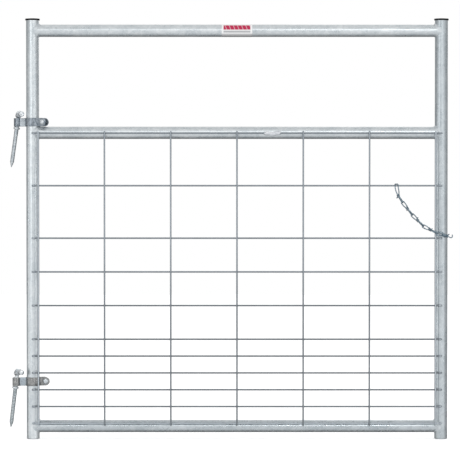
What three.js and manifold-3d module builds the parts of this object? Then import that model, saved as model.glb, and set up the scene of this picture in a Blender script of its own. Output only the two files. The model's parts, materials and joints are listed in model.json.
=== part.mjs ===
// Wire-filled garden gate: a welded tube leaf with two wrap-around hinges and a latch chain.
// Units are millimetres. The leaf is laid out about its own centre line: X runs from the hinge post to
// the latch post, -Y is the face that carries the wires, and Z is the height above the foot of the posts.
// At the end the leaf is shifted so that the origin is the bottom centre of the whole envelope.

import * as THREE from 'three';
import { mergeVertices } from 'three/addons/utils/BufferGeometryUtils.js';
import Module from 'manifold-3d';

const wasm = await Module();
wasm.setup();

// ---- Driving dimensions ----------------------------------------------------------------------------

const GATE_WIDTH = 1272;
const GATE_HEIGHT = 1270;
const GAP = 0.3;
const OVERSHOOT = 5;

const POST_RADIUS = 19.5;
const FOOT_CORNERS = [[17.3, 0], [18.9, 0.7], [POST_RADIUS, 2.3]];
const RAIL_RADIUS = 18.5;
const TUBE_WALL = 1.6;
const TUBE_SIDES = 36;
const TOP_RAIL_HEIGHT = 1232.5;
const MID_RAIL_HEIGHT = 925;
const BOTTOM_RAIL_HEIGHT = 38.4;

const CAP_RADIUS = 21.8;
const CAP_FLANGE = 4.5;
const CAP_EDGE = 1.4;
const CAP_PLUG_LENGTH = 20;
const CAP_WALL = 1.8;

const WIRE_RADIUS = 2.45;
const WIRE_SIDES = 10;
const CROSS_WIRE_LENGTH = 1236;
const LOWEST_CROSS_WIRE = 48.8;
const CROSS_WIRE_PITCHES = [50.8, 50.8, 50.8, 50.8, 50.8, 101.6, 101.6, 101.6, 158.1, 158.1];
const UPRIGHT_WIRE_PITCH = 199.4;
const UPRIGHT_WIRE_COUNT = 7;
const UPRIGHT_WIRE_BOTTOM = 42.5;
const UPRIGHT_WIRE_TOP = 930;

const LABEL_LENGTH = 92;
const LABEL_THICKNESS = 0.4;
const LABEL_START = THREE.MathUtils.degToRad(-80);
const LABEL_END = THREE.MathUtils.degToRad(100);

const STRAP_HEIGHT = 25.4;
const STRAP_THICKNESS = 2.8;
const STRAP_POST_CLEARANCE = 0.4;
const STRAP_LEG_GAP = 0.4;
const EYE_RADIUS = 8.3;
const EYE_DISTANCE = 52;
const TAB_HALF_SPREAD = 9.5;
const TAB_BEND_RADIUS = 4;
const EYE_BEND_RADIUS = 3;
const TIGHT_BEND_STEPS = 4;
const BAND_STEPS = 15;
const EYE_STEPS = 12;
const BOLT_DISTANCE = 36.5;
const BOLT_RADIUS = 4;
const BOLT_HOLE_RADIUS = 4.4;
const BOLT_HEAD_RADIUS = 8.5;
const BOLT_HEAD_HEIGHT = 4.2;
const BOLT_TIP = 3;
const BOLT_CHAMFER = 1;
const HEAD_STEPS = 3;
const NUT_ACROSS_FLATS = 13;
const NUT_THICKNESS = 6.5;

const SHANK_RADIUS = 6.2;
const POINT_LENGTH = 17;
const POINT_RADIUS = 1;
const PIN_RADIUS = 7.95;
const PIN_REACH = 31;
const PIN_CHAMFER = 1.5;
const HOOK_BEND_RADIUS = 7;
const ROUND_SIDES = 18;
const BEND_STEPS = 8;
const COLLAR_RADIUS = 9.6;
const COLLAR_THICKNESS = 6;
const COLLAR_DROP = 14.9;

// Each hinge: height of the eye, turn of the strap round the post, and lean of the screw hook. Then the
// direction of the hook's pin, from +X towards the wire side, its height above the eye, and the length
// of the shank below the eye.
const HINGES = [
  { name: 'top', height: 956.9, turn: 24, lean: 8, pinTurn: 67, pinHeight: 26.5, shankLength: 137 },
  { name: 'bottom', height: 174, turn: -15, lean: 6.7, pinTurn: 58, pinHeight: 29.5, shankLength: 139 },
];

const LINK_WIRE = 1.7;
const LINK_HALF_WIDTH = 4.3;
const LINK_PITCH = 47.5;
const LINK_SLACK = 0.3;
const LINK_STEPS = 16;
const LINK_SIDES = 8;
const TURN_BACK_STEPS = 4;
const KNOT_RADIUS = 4.6;
const KNOT_LENGTH = 7;
const KNOT_SIDES = 10;

// How a lobe of a link opens out from its knot: [share of the half width, share of the length].
const LOBE_SIDE = [[0.35, 1], [0.6, 0.8], [0.96, 0.52], [1, 0.32]];

const CHAIN_DEPTH = -36.5;
const CHAIN_START = new THREE.Vector3(603.1, CHAIN_DEPTH, 621.9);
const LINK_LEANS = [-62.6, -44.9, -37.9];
const ANCHOR_TURN_LEAN = -75;
const ANCHOR_END = new THREE.Vector3(646.5, -18.5, 610.8);
const ANCHOR_STUD_RADIUS = 3.5;
const END_LINK_LOWER_LENGTH = 24.4;
const END_LINK_LOWER_LEAN = -33;
const END_HOOK_CLEARANCE = 0.9;
const END_HOOK_WIRE_ROW = 1;
const END_HOOK_TOP_OFFSET = -18.2;
const END_HOOK_BAR_DROP = 1.4;

// The strands of the end hook between its knot and the cross wire, as shares of the way there:
// [sideways, share of the half width, forwards, upwards].
const END_HOOK_STRAND = [
  [0, 0.35, 0, 0],
  [0.2, 0.65, 0.14, 0.22],
  [0.55, 0.98, 0.45, 0.48],
  [0.85, 1, 0.82, 0.76],
];
const END_HOOK_RETURN_WIDTH = 0.8;

const ORIGIN_SHIFT_X = 20;
const ORIGIN_SHIFT_Y = 5;

// ---- Values that follow from them ------------------------------------------------------------------

const POST_X = GATE_WIDTH / 2 - POST_RADIUS;
const POST_LENGTH = GATE_HEIGHT - CAP_FLANGE - GAP;
const CROSS_WIRE_Y = -(POST_RADIUS + GAP + WIRE_RADIUS);
const UPRIGHT_WIRE_Y = CROSS_WIRE_Y - 2 * WIRE_RADIUS - GAP;
const CROSS_WIRE_HEIGHTS = crossWireHeights();
const TAB_FACE = TAB_HALF_SPREAD + STRAP_THICKNESS / 2;
const BAR_TO_BAR = 2 * LINK_WIRE + LINK_SLACK;
const LINK_LENGTH = LINK_PITCH + BAR_TO_BAR;

const zinc = metal(0xb4bcc2, 0.42);
const zincWire = metal(0x9aa2a8, 0.45);
const dullZinc = metal(0x7f8890, 0.5);
const brightZinc = metal(0xaeb6bc, 0.35);
const blackPlastic = new THREE.MeshStandardMaterial({ color: 0x101214, roughness: 0.4, metalness: 0 });
const labelFilm = new THREE.MeshStandardMaterial({ color: 0xf4f4f2, roughness: 0.35, metalness: 0 });

function metal(color, roughness) {
  return new THREE.MeshStandardMaterial({ color, roughness, metalness: 0.9 });
}

// Heights of the cross wires from the highest down to the lowest.
function crossWireHeights() {
  const heights = [LOWEST_CROSS_WIRE];
  for (const pitch of CROSS_WIRE_PITCHES) heights.unshift(heights[0] + pitch);
  return heights;
}

// ---- Solid helpers ---------------------------------------------------------------------------------

function toSolid(geometry) {
  const bare = geometry.clone();
  bare.deleteAttribute('normal');
  bare.deleteAttribute('uv');
  const merged = mergeVertices(bare, 1e-4);
  return new wasm.Manifold(
    new wasm.Mesh({
      numProp: 3,
      vertProperties: merged.attributes.position.array,
      triVerts: new Uint32Array(merged.index.array),
    }),
  );
}

function toGeometry(solid) {
  const mesh = solid.getMesh();
  const geometry = new THREE.BufferGeometry();
  geometry.setAttribute('position', new THREE.BufferAttribute(new Float32Array(mesh.vertProperties), 3));
  geometry.setIndex(new THREE.BufferAttribute(new Uint32Array(mesh.triVerts), 1));
  geometry.computeVertexNormals();
  return geometry;
}

function addPiece(group, name, geometry, material) {
  const mesh = new THREE.Mesh(geometry, material);
  mesh.name = name;
  group.add(mesh);
  return mesh;
}

// A round bar along local Y from one end to the other.
function bar(radius, from, to, sides) {
  return new THREE.CylinderGeometry(radius, radius, to - from, sides).translate(0, (from + to) / 2, 0);
}

// The same bar along X or along Z.
function barAlongX(radius, from, to, sides) {
  return bar(radius, from, to, sides).rotateZ(-Math.PI / 2);
}

function barAlongZ(radius, from, to, sides) {
  return bar(radius, from, to, sides).rotateX(Math.PI / 2);
}

// A solid of revolution about local Y from [radius, height] pairs that run from axis to axis, upwards.
function turned(profile, sides) {
  const points = profile.map(([radius, height]) => new THREE.Vector2(radius, height));
  return new THREE.LatheGeometry(points, sides);
}

// Angles from 0 to the last one in even steps.
function evenAngles(last, steps) {
  const angles = [];
  for (let i = 0; i <= steps; i += 1) angles.push((last * i) / steps);
  return angles;
}

// A round wire swept along a curve. A full circle takes two sides for each curve segment.
function sweptWire(curve, radius, sides, steps) {
  const section = new THREE.Shape();
  section.absarc(0, 0, radius, 0, 2 * Math.PI, false);
  const options = { steps, curveSegments: sides / 2, extrudePath: curve };
  return new THREE.ExtrudeGeometry(section, options);
}

// ---- Leaf: posts, rails, caps, wires, label --------------------------------------------------------

// A post tube: open at the top for the plug of the cap, and shut at the foot, with an eased corner.
function postGeometry() {
  const bore = POST_RADIUS - TUBE_WALL;
  const profile = [
    [0, 0],
    ...FOOT_CORNERS,
    [POST_RADIUS, POST_LENGTH],
    [bore, POST_LENGTH],
    ...FOOT_CORNERS.map(([radius, height]) => [radius - TUBE_WALL, height + TUBE_WALL]).reverse(),
    [0, TUBE_WALL],
  ];
  return turned(profile, TUBE_SIDES).rotateX(Math.PI / 2);
}

// A rail tube, with both ends coped to the round of the posts.
function railGeometry() {
  const outside = toSolid(barAlongX(RAIL_RADIUS, -POST_X, POST_X, TUBE_SIDES));
  const bore = barAlongX(RAIL_RADIUS - TUBE_WALL, -POST_X - OVERSHOOT, POST_X + OVERSHOOT, TUBE_SIDES);
  let rail = outside.subtract(toSolid(bore));
  for (const side of [-1, 1]) {
    const post = barAlongZ(POST_RADIUS + GAP, -2 * RAIL_RADIUS, 2 * RAIL_RADIUS, TUBE_SIDES);
    rail = rail.subtract(toSolid(post.translate(side * POST_X, 0, 0)));
  }
  return toGeometry(rail);
}

// A push-in cap: a flange with an eased edge on a hollow plug that is open below.
function capGeometry() {
  const plug = POST_RADIUS - TUBE_WALL - GAP;
  const profile = [
    [0, -CAP_WALL],
    [plug - CAP_WALL, -CAP_WALL],
    [plug - CAP_WALL, -CAP_PLUG_LENGTH],
    [plug, -CAP_PLUG_LENGTH],
    [plug, 0],
    [CAP_RADIUS, 0],
    [CAP_RADIUS, CAP_FLANGE - CAP_EDGE],
    [CAP_RADIUS - CAP_EDGE, CAP_FLANGE],
    [0, CAP_FLANGE],
  ];
  return turned(profile, TUBE_SIDES).rotateX(Math.PI / 2);
}

// A thin film bent round the wire side of the top rail. Its section lies in the plane of -Y and Z.
function labelGeometry() {
  const inner = RAIL_RADIUS + GAP;
  const outer = inner + LABEL_THICKNESS;
  const section = new THREE.Shape();
  section.absarc(0, 0, outer, LABEL_START, LABEL_END, false);
  section.absarc(0, 0, inner, LABEL_END, LABEL_START, true);
  const options = { depth: LABEL_LENGTH, bevelEnabled: false, curveSegments: TUBE_SIDES / 4 };
  const film = new THREE.ExtrudeGeometry(section, options).translate(0, 0, -LABEL_LENGTH / 2);
  const toWireSide = new THREE.Matrix4().makeBasis(
    new THREE.Vector3(0, -1, 0),
    new THREE.Vector3(0, 0, 1),
    new THREE.Vector3(-1, 0, 0),
  );
  return film.applyMatrix4(toWireSide);
}

function addLeaf(group) {
  const posts = [['hinge_post', -POST_X], ['latch_post', POST_X]];
  for (const [name, x] of posts) {
    addPiece(group, name, postGeometry(), zinc).position.x = x;
    addPiece(group, `${name}_cap`, capGeometry(), blackPlastic).position.set(x, 0, POST_LENGTH + GAP);
  }
  const rails = [
    ['top_rail', TOP_RAIL_HEIGHT],
    ['mid_rail', MID_RAIL_HEIGHT],
    ['bottom_rail', BOTTOM_RAIL_HEIGHT],
  ];
  for (const [name, height] of rails) {
    addPiece(group, name, railGeometry(), zinc).position.z = height;
  }
  addPiece(group, 'rail_label', labelGeometry(), labelFilm).position.z = TOP_RAIL_HEIGHT;
}

function addWires(group) {
  const halfLength = CROSS_WIRE_LENGTH / 2;
  CROSS_WIRE_HEIGHTS.forEach((height, row) => {
    const name = `cross_wire_${String(row + 1).padStart(2, '0')}`;
    const wire = barAlongX(WIRE_RADIUS, -halfLength, halfLength, WIRE_SIDES);
    addPiece(group, name, wire, zincWire).position.set(0, CROSS_WIRE_Y, height);
  });
  for (let column = 0; column < UPRIGHT_WIRE_COUNT; column += 1) {
    const x = (column - (UPRIGHT_WIRE_COUNT - 1) / 2) * UPRIGHT_WIRE_PITCH;
    const wire = barAlongZ(WIRE_RADIUS, UPRIGHT_WIRE_BOTTOM, UPRIGHT_WIRE_TOP, WIRE_SIDES);
    addPiece(group, `upright_wire_${column + 1}`, wire, zincWire).position.set(x, UPRIGHT_WIRE_Y, 0);
  }
}

// ---- Hinges ----------------------------------------------------------------------------------------

// Points of an arc, from one angle to the other.
function arcPoints(centreX, centreY, radius, from, to, steps) {
  const points = [];
  for (let i = 0; i <= steps; i += 1) {
    const angle = from + ((to - from) * i) / steps;
    points.push(new THREE.Vector2(centreX + radius * Math.cos(angle), centreY + radius * Math.sin(angle)));
  }
  return points;
}

// Centre line of one half of the strap, from the end of a tab, round one side of the post, along the
// neck and round the eye to its far side. X points from the post's axis to the tabs.
function halfStrapLine() {
  const ring = POST_RADIUS + STRAP_POST_CLEARANCE + STRAP_THICKNESS / 2;
  const eye = EYE_RADIUS + STRAP_THICKNESS / 2;
  const neck = (STRAP_THICKNESS + STRAP_LEG_GAP) / 2;
  const tabBendY = TAB_HALF_SPREAD + TAB_BEND_RADIUS;
  const tabBendX = Math.sqrt((ring + TAB_BEND_RADIUS) ** 2 - tabBendY ** 2);
  const neckBendY = neck + TAB_BEND_RADIUS;
  const neckBendX = Math.sqrt((ring + TAB_BEND_RADIUS) ** 2 - neckBendY ** 2);
  const eyeBendY = neck + EYE_BEND_RADIUS;
  const eyeBendX = Math.sqrt((eye + EYE_BEND_RADIUS) ** 2 - eyeBendY ** 2);
  const tabEnd = BOLT_DISTANCE + STRAP_HEIGHT / 2;
  const up = Math.PI / 2;
  const bandFrom = Math.atan2(-tabBendY, tabBendX);
  const bandTo = Math.atan2(-neckBendY, -neckBendX);
  const tabTo = Math.atan2(tabBendY, -tabBendX);
  const neckFrom = Math.atan2(neckBendY, neckBendX);
  const eyeBendTo = Math.atan2(eyeBendY, -eyeBendX);
  const eyeFrom = Math.atan2(-eyeBendY, eyeBendX);
  const tabBend = arcPoints(tabBendX, -tabBendY, TAB_BEND_RADIUS, up, tabTo, TIGHT_BEND_STEPS);
  const band = arcPoints(0, 0, ring, bandFrom, bandTo, BAND_STEPS);
  const neckBend = arcPoints(-neckBendX, -neckBendY, TAB_BEND_RADIUS, neckFrom, up, TIGHT_BEND_STEPS);
  const eyeBendCentre = eyeBendX - EYE_DISTANCE;
  const eyeBend = arcPoints(eyeBendCentre, -eyeBendY, EYE_BEND_RADIUS, up, eyeBendTo, TIGHT_BEND_STEPS);
  const eyeRound = arcPoints(-EYE_DISTANCE, 0, eye, eyeFrom, -Math.PI, EYE_STEPS);
  return [
    new THREE.Vector2(tabEnd, -TAB_HALF_SPREAD),
    ...tabBend,
    ...band.slice(1),
    ...neckBend.slice(1),
    ...eyeBend,
    ...eyeRound.slice(1),
  ];
}

// A closed outline of even thickness about an open centre line.
function stripOutline(line, thickness) {
  const left = [];
  const right = [];
  line.forEach((point, i) => {
    const before = line[Math.max(i - 1, 0)];
    const after = line[Math.min(i + 1, line.length - 1)];
    const along = after.clone().sub(before).normalize();
    const across = new THREE.Vector2(-along.y, along.x).multiplyScalar(thickness / 2);
    left.push(point.clone().add(across));
    right.unshift(point.clone().sub(across));
  });
  return new THREE.Shape([...left, ...right]);
}

// One folded strip: eye, neck, band round the post, and two tabs with round ends and a bolt hole.
function strapGeometry() {
  const half = halfStrapLine();
  const otherHalf = half.slice(0, -1).reverse().map((point) => new THREE.Vector2(point.x, -point.y));
  const outline = stripOutline([...half, ...otherHalf], STRAP_THICKNESS);
  const strip = new THREE.ExtrudeGeometry(outline, { depth: STRAP_HEIGHT, bevelEnabled: false });
  const reach = TAB_FACE + OVERSHOOT;
  const hole = bar(BOLT_HOLE_RADIUS, -reach, reach, ROUND_SIDES).translate(BOLT_DISTANCE, 0, 0);
  const roundEnd = bar(STRAP_HEIGHT / 2, -2 * reach, 2 * reach, TUBE_SIDES).translate(BOLT_DISTANCE, 0, 0);
  const beyondBolt = new THREE.BoxGeometry(STRAP_HEIGHT, 2 * reach, 2 * STRAP_HEIGHT);
  const corners = toSolid(beyondBolt.translate(BOLT_DISTANCE + STRAP_HEIGHT / 2, 0, 0));
  const strap = toSolid(strip.translate(0, 0, -STRAP_HEIGHT / 2))
    .subtract(corners.subtract(toSolid(roundEnd)))
    .subtract(toSolid(hole));
  return toGeometry(strap);
}

// A dome-headed bolt along local Y, head on the wire side.
function boltGeometry() {
  const seat = -(TAB_FACE + GAP);
  const end = TAB_FACE + GAP + NUT_THICKNESS + BOLT_TIP;
  const dome = evenAngles(Math.PI / 2, HEAD_STEPS).map((angle) => [
    BOLT_HEAD_RADIUS * Math.sin(angle),
    seat - BOLT_HEAD_HEIGHT * Math.cos(angle),
  ]);
  const shank = [
    [BOLT_RADIUS, seat],
    [BOLT_RADIUS, end - BOLT_CHAMFER],
    [BOLT_RADIUS - BOLT_CHAMFER, end],
    [0, end],
  ];
  return turned([...dome, ...shank], ROUND_SIDES);
}

function nutGeometry() {
  const cornerRadius = NUT_ACROSS_FLATS / Math.sqrt(3);
  const from = TAB_FACE + GAP;
  const hexagon = toSolid(bar(cornerRadius, from, from + NUT_THICKNESS, 6));
  const thread = bar(BOLT_RADIUS + GAP, from - OVERSHOOT, from + NUT_THICKNESS + OVERSHOOT, ROUND_SIDES);
  return toGeometry(hexagon.subtract(toSolid(thread)));
}

// An L-shaped screw hook: a pointed shank along local Z, a bend, and a thicker pin along local X. The
// origin is the middle of the eye that the shank hangs in.
function screwHookGeometry(pinHeight, shankLength) {
  const bendStart = pinHeight - HOOK_BEND_RADIUS;
  const shank = turned(
    [
      [0, -shankLength],
      [POINT_RADIUS, -shankLength],
      [SHANK_RADIUS, POINT_LENGTH - shankLength],
      [SHANK_RADIUS, bendStart + GAP],
      [0, bendStart + GAP],
    ],
    ROUND_SIDES,
  ).rotateX(Math.PI / 2);
  const bend = new THREE.QuadraticBezierCurve3(
    new THREE.Vector3(0, 0, bendStart),
    new THREE.Vector3(0, 0, pinHeight),
    new THREE.Vector3(HOOK_BEND_RADIUS + OVERSHOOT, 0, pinHeight),
  );
  const pin = turned(
    [
      [0, HOOK_BEND_RADIUS],
      [PIN_RADIUS - PIN_CHAMFER, HOOK_BEND_RADIUS],
      [PIN_RADIUS, HOOK_BEND_RADIUS + PIN_CHAMFER],
      [PIN_RADIUS, PIN_REACH - PIN_CHAMFER],
      [PIN_RADIUS - PIN_CHAMFER, PIN_REACH],
      [0, PIN_REACH],
    ],
    ROUND_SIDES,
  ).rotateZ(-Math.PI / 2);
  const hook = toSolid(shank)
    .add(toSolid(sweptWire(bend, SHANK_RADIUS, ROUND_SIDES, BEND_STEPS)))
    .add(toSolid(pin.translate(0, 0, pinHeight)));
  return toGeometry(hook);
}

// A ring pushed on the shank just below the eye.
function collarGeometry() {
  const low = -COLLAR_DROP - COLLAR_THICKNESS;
  const ring = toSolid(barAlongZ(COLLAR_RADIUS, low, -COLLAR_DROP, ROUND_SIDES));
  const hole = barAlongZ(SHANK_RADIUS + GAP, low - OVERSHOOT, OVERSHOOT - COLLAR_DROP, ROUND_SIDES);
  return toGeometry(ring.subtract(toSolid(hole)));
}

function addHinge(group, { name, height, turn, lean, pinTurn, pinHeight, shankLength }) {
  const hinge = new THREE.Group();
  hinge.position.set(-POST_X, 0, height);
  hinge.rotation.z = -THREE.MathUtils.degToRad(turn);
  addPiece(hinge, `${name}_hinge_strap`, strapGeometry(), dullZinc);
  addPiece(hinge, `${name}_hinge_bolt`, boltGeometry(), brightZinc).position.x = BOLT_DISTANCE;
  addPiece(hinge, `${name}_hinge_nut`, nutGeometry(), brightZinc).position.x = BOLT_DISTANCE;
  group.add(hinge);

  const hook = new THREE.Group();
  hook.position.set(-EYE_DISTANCE, 0, 0).applyEuler(hinge.rotation).add(hinge.position);
  hook.rotation.set(0, THREE.MathUtils.degToRad(lean), -THREE.MathUtils.degToRad(pinTurn));
  addPiece(hook, `${name}_screw_hook`, screwHookGeometry(pinHeight, shankLength), zinc);
  addPiece(hook, `${name}_hook_collar`, collarGeometry(), dullZinc);
  group.add(hook);
}

// ---- Latch chain -----------------------------------------------------------------------------------

// One lobe of a link in the XZ plane: a wire that leaves the knot, opens out and turns back, with the
// middle of its end bar at the origin and the knot at the given height.
function lobe(length) {
  const w = LINK_HALF_WIDTH;
  const side = LOBE_SIDE.map(([width, height]) => [width * w, height * length]);
  const turn = evenAngles(Math.PI, TURN_BACK_STEPS).map((angle) => [
    w * Math.cos(angle),
    w - w * Math.sin(angle),
  ]);
  const back = side.map(([x, z]) => [-x, z]).reverse();
  const points = [...side, ...turn, ...back].map(([x, z]) => new THREE.Vector3(x, 0, z));
  return sweptWire(new THREE.CatmullRomCurve3(points), LINK_WIRE, LINK_SIDES, LINK_STEPS);
}

// The few turns of wire that tie a link at its middle, as one short barrel along Z.
function knot() {
  return barAlongZ(KNOT_RADIUS, -KNOT_LENGTH / 2, KNOT_LENGTH / 2, KNOT_SIDES);
}

// A double-loop link along Z. Its lower lobe lies in the YZ plane, with the end bar at the origin, and
// its upper lobe in the XZ plane.
function linkSolid() {
  const lower = lobe(LINK_LENGTH / 2).rotateZ(Math.PI / 2);
  const upper = lobe(LINK_LENGTH / 2).rotateX(Math.PI).translate(0, 0, LINK_LENGTH);
  return toSolid(lower)
    .add(toSolid(upper))
    .add(toSolid(knot().translate(0, 0, LINK_LENGTH / 2)));
}

// The link that is welded to the latch post by a stud under its knot. It slants from the post's face
// out to the plane of the chain.
function addAnchorLink(group) {
  const turnLean = THREE.MathUtils.degToRad(ANCHOR_TURN_LEAN);
  const apex = new THREE.Vector3(Math.sin(turnLean), 0, Math.cos(turnLean))
    .multiplyScalar(BAR_TO_BAR)
    .add(CHAIN_START);
  const along = apex.clone().sub(ANCHOR_END).normalize();
  const across = new THREE.Vector3().crossVectors(new THREE.Vector3(0, 1, 0), along).normalize();
  const deep = new THREE.Vector3().crossVectors(along, across);
  const start = apex.clone().addScaledVector(along, -LINK_LENGTH);
  const frame = new THREE.Matrix4().makeBasis(across, deep, along).setPosition(start);
  const link = toSolid(toGeometry(linkSolid()).applyMatrix4(frame));

  const knotCentre = start.clone().addScaledVector(along, LINK_LENGTH / 2);
  const postAxis = new THREE.Vector3(POST_X, 0, knotCentre.z);
  const reach = knotCentre.distanceTo(postAxis);
  const turn = Math.atan2(postAxis.x - knotCentre.x, postAxis.y - knotCentre.y);
  const stud = bar(ANCHOR_STUD_RADIUS, 0, reach, KNOT_SIDES)
    .rotateZ(-turn)
    .translate(knotCentre.x, knotCentre.y, knotCentre.z);
  const post = barAlongZ(POST_RADIUS + GAP, -KNOT_LENGTH * 2, KNOT_LENGTH * 2, TUBE_SIDES)
    .translate(postAxis.x, postAxis.y, postAxis.z);
  const anchor = link.add(toSolid(stud).subtract(toSolid(post)));
  addPiece(group, 'chain_anchor_link', toGeometry(anchor), dullZinc);
}

// The last link. Its lower lobe is like the others, and its upper lobe is bent back over a cross wire.
// The origin is the middle of its lower end bar.
function endLinkGeometry(wireDepth, wireHeight) {
  const lean = THREE.MathUtils.degToRad(END_LINK_LOWER_LEAN);
  const knotX = END_LINK_LOWER_LENGTH * Math.sin(lean);
  const knotZ = END_LINK_LOWER_LENGTH * Math.cos(lean);
  const lower = lobe(END_LINK_LOWER_LENGTH).rotateZ(Math.PI / 2).rotateY(lean);
  const tie = knot().rotateY(lean / 2).translate(knotX, 0, knotZ);

  const bend = WIRE_RADIUS + END_HOOK_CLEARANCE + LINK_WIRE;
  const rise = wireHeight - knotZ;
  const front = wireDepth - bend;
  const x = END_HOOK_TOP_OFFSET;
  const w = LINK_HALF_WIDTH;
  const up = END_HOOK_STRAND.map(([sideways, width, forwards, upwards]) => [
    knotX + sideways * (x - knotX),
    width * w,
    forwards * front,
    knotZ + upwards * rise,
  ]);
  const overWire = evenAngles(Math.PI, TURN_BACK_STEPS).map((angle) => [
    x,
    w,
    wireDepth - bend * Math.cos(angle),
    wireHeight + bend * Math.sin(angle),
  ]);
  const strand = [...up, ...overWire, [x, END_HOOK_RETURN_WIDTH * w, wireDepth + bend, wireHeight - w]];
  const left = strand.map(([cx, half, y, z]) => new THREE.Vector3(cx - half, y, z));
  const right = strand.map(([cx, half, y, z]) => new THREE.Vector3(cx + half, y, z)).reverse();
  const endBar = new THREE.Vector3(x, wireDepth + bend, wireHeight - END_HOOK_BAR_DROP * w);
  const curve = new THREE.CatmullRomCurve3([...left, endBar, ...right]);
  const upper = sweptWire(curve, LINK_WIRE, LINK_SIDES, 2 * LINK_STEPS - 2);
  return toGeometry(toSolid(lower).add(toSolid(tie)).add(toSolid(upper)));
}

function addChain(group) {
  addAnchorLink(group);
  const pivot = CHAIN_START.clone();
  LINK_LEANS.forEach((degrees, i) => {
    const lean = THREE.MathUtils.degToRad(degrees);
    const mesh = addPiece(group, `chain_link_${i + 1}`, toGeometry(linkSolid()), dullZinc);
    mesh.position.copy(pivot);
    mesh.rotation.y = lean;
    pivot.x += LINK_PITCH * Math.sin(lean);
    pivot.z += LINK_PITCH * Math.cos(lean);
  });
  const wireDepth = CROSS_WIRE_Y - CHAIN_DEPTH;
  const wireHeight = CROSS_WIRE_HEIGHTS[END_HOOK_WIRE_ROW] - pivot.z;
  addPiece(group, 'chain_end_hook', endLinkGeometry(wireDepth, wireHeight), dullZinc).position.copy(pivot);
}

// ---- Assembly --------------------------------------------------------------------------------------

const leaf = new THREE.Group();
leaf.position.set(ORIGIN_SHIFT_X, ORIGIN_SHIFT_Y, 0);
addLeaf(leaf);
addWires(leaf);
for (const hinge of HINGES) addHinge(leaf, hinge);
addChain(leaf);

const gate = new THREE.Group();
gate.add(leaf);

export default gate;
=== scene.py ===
"""Looks of a wire-filled garden gate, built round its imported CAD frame.

Lengths are metres in the frame's own axes: X from the hinge post to the latch post, -Y the wire side,
Z up. Small sizes are written in millimetres and multiplied by MM.
"""

import json
from math import atan2, ceil, cos, pi, radians, sin, sqrt

import bmesh
import bpy
from mathutils import Euler, Matrix, Vector, noise


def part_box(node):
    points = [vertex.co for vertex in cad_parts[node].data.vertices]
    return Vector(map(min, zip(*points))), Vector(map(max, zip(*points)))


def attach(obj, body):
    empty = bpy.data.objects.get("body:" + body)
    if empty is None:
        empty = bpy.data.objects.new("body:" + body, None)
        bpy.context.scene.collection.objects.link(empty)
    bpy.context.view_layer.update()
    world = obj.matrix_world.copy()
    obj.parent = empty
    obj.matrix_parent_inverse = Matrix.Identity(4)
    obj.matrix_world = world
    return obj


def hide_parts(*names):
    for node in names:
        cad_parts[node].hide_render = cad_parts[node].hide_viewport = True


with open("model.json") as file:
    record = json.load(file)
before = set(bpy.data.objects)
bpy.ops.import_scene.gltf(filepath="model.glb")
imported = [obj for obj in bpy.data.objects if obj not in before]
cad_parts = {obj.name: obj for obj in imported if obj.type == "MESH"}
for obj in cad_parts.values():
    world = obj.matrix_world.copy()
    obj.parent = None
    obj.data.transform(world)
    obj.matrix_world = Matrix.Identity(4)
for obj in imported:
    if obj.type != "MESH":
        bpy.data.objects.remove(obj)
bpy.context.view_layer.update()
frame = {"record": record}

MM = 0.001
MERGE_DISTANCE = 1e-7
Y_AXIS = Vector((0, 1, 0))
Z_AXIS = Vector((0, 0, 1))
TO_DEPTH = Matrix.Rotation(-pi / 2, 4, "X")

# ---- Driving dimensions ----

TIP_ROUNDNESS = 0.6
SEED_STEP = 1.37
BEAD_LUMP = 0.22
TUBE_SIDES = 64
TUBE_WALL = 1.6 * MM
TUBE_STEP = 9 * MM
TUBE_LUMP = 0.16 * MM
ZINC_RUNS = 0.16
ZINC_SWELLS = 0.45
FOOT_EASE_WIDTH = 2.6 * MM
FOOT_EASE_HEIGHT = 3.4 * MM
LIP_ROUNDING = 0.5 * MM

WELD_LEG = 6.5 * MM
WELD_BEAD = 0.9 * MM
WELD_RIPPLE = 0.18 * MM
WELD_SIDES = 96
WELD_STEPS = 8
WELD_RIPPLES = 26
WELD_ROOT = 2.5 * MM

CAP_CROWN = 1.2 * MM
CAP_SKIRT = 1.6 * MM
CAP_EDGE = 0.8 * MM
CAP_RIM = 0.5 * MM
CAP_PLUG_WALL = 1.8 * MM
CAP_PLUG_STEP = 0.6 * MM
CAP_PLUG_TAPER = 1.5 * MM

ZINC_RUN_X = 125 * MM
ZINC_RUN_DEPTH = 4.7 * MM
ZINC_RUN_HEIGHT = 5.8 * MM
WIRE_SIDES = 16
WIRE_STEP = 12 * MM
WIRE_END = 0.8 * MM
WIRE_LUMP = 0.05 * MM
CROSSING_WELD = (2.5 * MM, 2.0 * MM, 2.5 * MM)
END_WELD_LENGTH = 6 * MM
END_WELD_SHIFT = 4 * MM

STRIP_THICKNESS = 2.8 * MM
STRIP_EDGE = 0.7 * MM
POST_CLEARANCE = 0.4 * MM
LEG_GAP = 0.4 * MM
EYE_RADIUS = 8.3 * MM
TAB_HALF_SPREAD = 9.5 * MM
TAB_BEND_RADIUS = 4 * MM
EYE_BEND_RADIUS = 3 * MM
BOLT_DISTANCE = 36.5 * MM
BOLT_RADIUS = 4 * MM
BOLT_HEAD_RADIUS = 8.5 * MM
BOLT_HEAD_HEIGHT = 4.2 * MM
BOLT_TIP = 3 * MM
BOLT_PITCH = 1.25 * MM
BOLT_THREAD = 0.55 * MM
BOLT_SIDES = 40
NUT_ACROSS_FLATS = 13 * MM
NUT_THICKNESS = 6.5 * MM
NUT_CHAMFER = 0.9 * MM
NUT_SIDES = 72
NUT_BORE_CHAMFER = 0.7 * MM
SEAT_GAP = 0.3 * MM

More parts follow.
